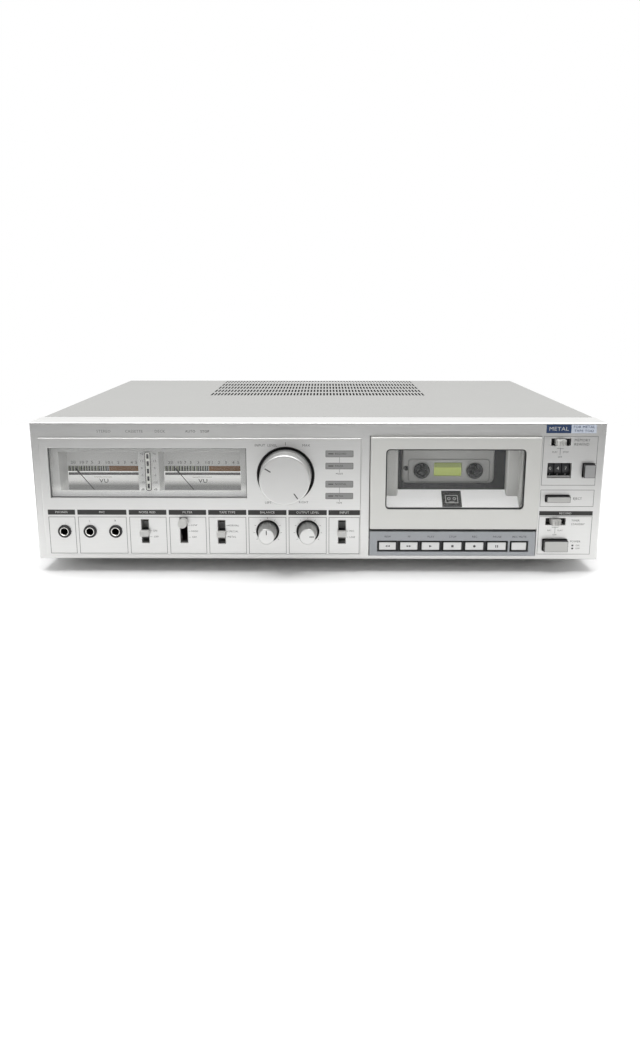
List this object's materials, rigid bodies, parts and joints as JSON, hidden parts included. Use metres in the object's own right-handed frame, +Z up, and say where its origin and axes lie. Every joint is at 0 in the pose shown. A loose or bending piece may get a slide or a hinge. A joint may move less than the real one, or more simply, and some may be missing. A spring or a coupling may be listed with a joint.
{
  "type": "cassette deck",
  "caption": "Wide front-loading stereo cassette deck with needle meters, a large level knob, lever switches, a window door over the cassette well, a key row and a tape counter.",
  "frame": {"origin": "centre of the bounding box at floor level, under the feet", "axes": "+X to the right as one faces the controls, +Y from the front panel to the rear, +Z up"},
  "size_m": [0.435, 0.3364, 0.118],
  "materials": {
    "brushed_silver": "fine horizontal brushing, clear anodised, silver",
    "grey_lacquer": "light silver-grey lacquer, fine texture",
    "zinc_steel": "zinc-plated sheet steel",
    "black_rubber": "matte black",
    "satin_silver": "satin silver paint on moulded plastic",
    "clear_acrylic": "clear, polished",
    "light_plastic": "light grey moulded plastic",
    "dark_plastic": "dark grey moulded plastic",
    "lit_window": "yellow-green window lit from behind",
    "brass": "turned brass",
    "key_strip": "blue-grey satin",
    "key_metal": "bright metallised plastic",
    "knob_aluminium": "turned and polished aluminium",
    "meter_face": "off-white printed scale",
    "needle_black": "black pointer",
    "board": "brown laminate",
    "laminations": "lacquered laminations"
  },
  "bodies": {
    "deck": {"front_panel": "brushed_silver", "cabinet_cover": "grey_lacquer", "bottom_plate": "zinc_steel", "rear_panel": "zinc_steel", "front_left_foot": "black_rubber", "front_right_foot": "black_rubber", "rear_left_foot": "black_rubber", "rear_right_foot": "black_rubber", "well_liner": "dark_plastic", "transport_plate": "light_plastic", "tape_light_window": "lit_window", "capstan_motor": "zinc_steel", "drive_belt": "black_rubber", "flywheel_bracket": "zinc_steel", "key_bezel": "key_strip", "meter_housing": "meter_face", "meter_window": "clear_acrylic", "peak_lamp_column": "dark_plastic", "counter_housing": "dark_plastic", "phones_jack": "dark_plastic", "mic_jack_left": "dark_plastic", "mic_jack_right": "dark_plastic", "main_circuit_board": "board", "power_transformer": "laminations", "line_jack_board": "dark_plastic", "mains_cord_gland": "black_rubber"},
    "cassette_door": {"door_panel": "satin_silver", "door_window": "clear_acrylic", "cassette_holder": "light_plastic"},
    "supply_reel": {"supply_reel_hub": "dark_plastic"},
    "take_up_reel": {"take_up_reel_hub": "dark_plastic"},
    "capstan": {"capstan_flywheel": "brass"},
    "motor_rotor": {"motor_pulley": "brass"},
    "head_slide": {"head_block": "zinc_steel"},
    "pinch_arm": {"pinch_roller_arm": "zinc_steel"},
    "pinch_wheel": {"pinch_roller": "black_rubber"},
    "rewind_key_body": {"rewind_key": "key_metal"},
    "fast_forward_key_body": {"fast_forward_key": "key_metal"},
    "play_key_body": {"play_key": "key_metal"},
    "stop_key_body": {"stop_key": "key_metal"},
    "record_key_body": {"record_key": "key_metal"},
    "pause_key_body": {"pause_key": "key_metal"},
    "record_mute_key_body": {"record_mute_key": "key_metal"},
    "eject_button_body": {"eject_button": "key_metal"},
    "power_button_body": {"power_button": "key_metal"},
    "counter_reset_button_body": {"counter_reset_button": "key_metal"},
    "memory_switch_lever_body": {"memory_switch_lever": "light_plastic"},
    "timer_switch_lever_body": {"timer_switch_lever": "light_plastic"},
    "noise_reduction_lever_body": {"noise_reduction_lever": "light_plastic"},
    "filter_lever_body": {"filter_lever": "light_plastic"},
    "tape_type_lever_body": {"tape_type_lever": "light_plastic"},
    "input_select_lever_body": {"input_select_lever": "light_plastic"},
    "input_level_knob_body": {"input_level_knob": "knob_aluminium"},
    "balance_knob_body": {"balance_knob": "knob_aluminium"},
    "output_level_knob_body": {"output_level_knob": "knob_aluminium"},
    "left_meter_needle_body": {"left_meter_needle": "needle_black"},
    "right_meter_needle_body": {"right_meter_needle": "needle_black"},
    "counter_wheel_hundreds_body": {"counter_wheel_hundreds": "dark_plastic"},
    "counter_wheel_tens_body": {"counter_wheel_tens": "dark_plastic"},
    "counter_wheel_units_body": {"counter_wheel_units": "dark_plastic"}
  },
  "joints": [
    {"name": "cassette_door_hinge", "type": "hinge", "parent": "deck", "child": "cassette_door", "pos_m": [0.1043, -0.14725, 0.0378], "axis": [1, 0, 0], "range_deg": [0, 25]},
    {"name": "supply_reel_spin", "type": "hinge", "parent": "deck", "child": "supply_reel", "pos_m": [0.08305, -0.11175, 0.0746], "axis": [0, 1, 0], "continuous": true},
    {"name": "take_up_reel_spin", "type": "hinge", "parent": "deck", "child": "take_up_reel", "pos_m": [0.12555, -0.11175, 0.0746], "axis": [0, 1, 0], "continuous": true},
    {"name": "capstan_spin", "type": "hinge", "parent": "deck", "child": "capstan", "pos_m": [0.1293, -0.09975, 0.047], "axis": [0, 1, 0], "continuous": true},
    {"name": "motor_spin", "type": "hinge", "parent": "deck", "child": "motor_rotor", "pos_m": [0.07, -0.09975, 0.0403], "axis": [0, 1, 0], "continuous": true},
    {"name": "head_lift", "type": "slide", "parent": "deck", "child": "head_slide", "axis": [0, 0, 1], "range_m": [0, 0.0075]},
    {"name": "pinch_arm_swing", "type": "hinge", "parent": "deck", "child": "pinch_arm", "pos_m": [0.1473, -0.11575, 0.0361], "axis": [0, 1, 0], "range_deg": [0, 21]},
    {"name": "pinch_roller_spin", "type": "hinge", "parent": "pinch_arm", "child": "pinch_wheel", "pos_m": [0.1296, -0.12175, 0.0328], "axis": [0, 1, 0], "continuous": true},
    {"name": "rewind_key_press", "type": "slide", "parent": "deck", "child": "rewind_key_body", "axis": [0, 1, 0], "range_m": [0, 0.0025], "stiffness_N_per_m": 80},
    {"name": "fast_forward_key_press", "type": "slide", "parent": "deck", "child": "fast_forward_key_body", "axis": [0, 1, 0], "range_m": [0, 0.0025], "stiffness_N_per_m": 80},
    {"name": "play_key_press", "type": "slide", "parent": "deck", "child": "play_key_body", "axis": [0, 1, 0], "range_m": [0, 0.0025], "stiffness_N_per_m": 80},
    {"name": "stop_key_press", "type": "slide", "parent": "deck", "child": "stop_key_body", "axis": [0, 1, 0], "range_m": [0, 0.0025], "stiffness_N_per_m": 80},
    {"name": "record_key_press", "type": "slide", "parent": "deck", "child": "record_key_body", "axis": [0, 1, 0], "range_m": [0, 0.0025], "stiffness_N_per_m": 80},
    {"name": "pause_key_press", "type": "slide", "parent": "deck", "child": "pause_key_body", "axis": [0, 1, 0], "range_m": [0, 0.0025], "stiffness_N_per_m": 80},
    {"name": "record_mute_key_press", "type": "slide", "parent": "deck", "child": "record_mute_key_body", "axis": [0, 1, 0], "range_m": [0, 0.0025], "stiffness_N_per_m": 80},
    {"name": "eject_button_press", "type": "slide", "parent": "deck", "child": "eject_button_body", "axis": [0, 1, 0], "range_m": [0, 0.003], "stiffness_N_per_m": 80},
    {"name": "power_button_press", "type": "slide", "parent": "deck", "child": "power_button_body", "axis": [0, 1, 0], "range_m": [0, 0.0035], "stiffness_N_per_m": 80},
    {"name": "counter_reset_button_press", "type": "slide", "parent": "deck", "child": "counter_reset_button_body", "axis": [0, 1, 0], "range_m": [0, 0.003], "stiffness_N_per_m": 80},
    {"name": "memory_switch_slide", "type": "slide", "parent": "deck", "child": "memory_switch_lever_body", "axis": [1, 0, 0], "range_m": [-0.0033, 0.0045]},
    {"name": "timer_switch_slide", "type": "slide", "parent": "deck", "child": "timer_switch_lever_body", "axis": [1, 0, 0], "range_m": [-0.004, 0.0045]},
    {"name": "noise_reduction_slide", "type": "slide", "parent": "deck", "child": "noise_reduction_lever_body", "axis": [0, 0, 1], "range_m": [-0.0055, 0.006]},
    {"name": "filter_slide", "type": "slide", "parent": "deck", "child": "filter_lever_body", "axis": [0, 0, 1], "range_m": [-0.013, 0.001]},
    {"name": "tape_type_slide", "type": "slide", "parent": "deck", "child": "tape_type_lever_body", "axis": [0, 0, 1], "range_m": [-0.0055, 0.006]},
    {"name": "input_select_slide", "type": "slide", "parent": "deck", "child": "input_select_lever_body", "axis": [0, 0, 1], "range_m": [-0.0055, 0.006]},
    {"name": "input_level_turn", "type": "hinge", "parent": "deck", "child": "input_level_knob_body", "pos_m": [-0.0242, -0.14775, 0.0779], "axis": [0, 1, 0], "range_deg": [-92, 208]},
    {"name": "balance_turn", "type": "hinge", "parent": "deck", "child": "balance_knob_body", "pos_m": [-0.0385, -0.14775, 0.0335], "axis": [0, 1, 0], "range_deg": [-150, 150]},
    {"name": "output_level_turn", "type": "hinge", "parent": "deck", "child": "output_level_knob_body", "pos_m": [-0.0075, -0.14775, 0.0335], "axis": [0, 1, 0], "range_deg": [-240, 60]},
    {"name": "left_needle_swing", "type": "hinge", "parent": "deck", "child": "left_meter_needle_body", "pos_m": [-0.1703, -0.12705, 0.0521], "axis": [0, 1, 0], "range_deg": [0, 75]},
    {"name": "right_needle_swing", "type": "hinge", "parent": "deck", "child": "right_meter_needle_body", "pos_m": [-0.0914, -0.12705, 0.0523], "axis": [0, 1, 0], "range_deg": [0, 75]},
    {"name": "counter_units_spin", "type": "hinge", "parent": "deck", "child": "counter_wheel_units_body", "pos_m": [0.1898, -0.13465, 0.0809], "axis": [1, 0, 0], "continuous": true},
    {"name": "counter_tens_spin", "type": "hinge", "parent": "deck", "child": "counter_wheel_tens_body", "pos_m": [0.1839, -0.13465, 0.0809], "axis": [1, 0, 0], "continuous": true},
    {"name": "counter_hundreds_spin", "type": "hinge", "parent": "deck", "child": "counter_wheel_hundreds_body", "pos_m": [0.178, -0.13465, 0.0809], "axis": [1, 0, 0], "continuous": true}
  ],
  "couplings": [
    {"joint": "motor_spin", "follows": "capstan_spin", "ratio": 4.5},
    {"joint": "pinch_arm_swing", "follows": "head_lift", "rad_per_m": 48.8},
    {"joint": "counter_tens_spin", "follows": "counter_units_spin", "ratio": 0.1},
    {"joint": "counter_hundreds_spin", "follows": "counter_units_spin", "ratio": 0.01}
  ]
}
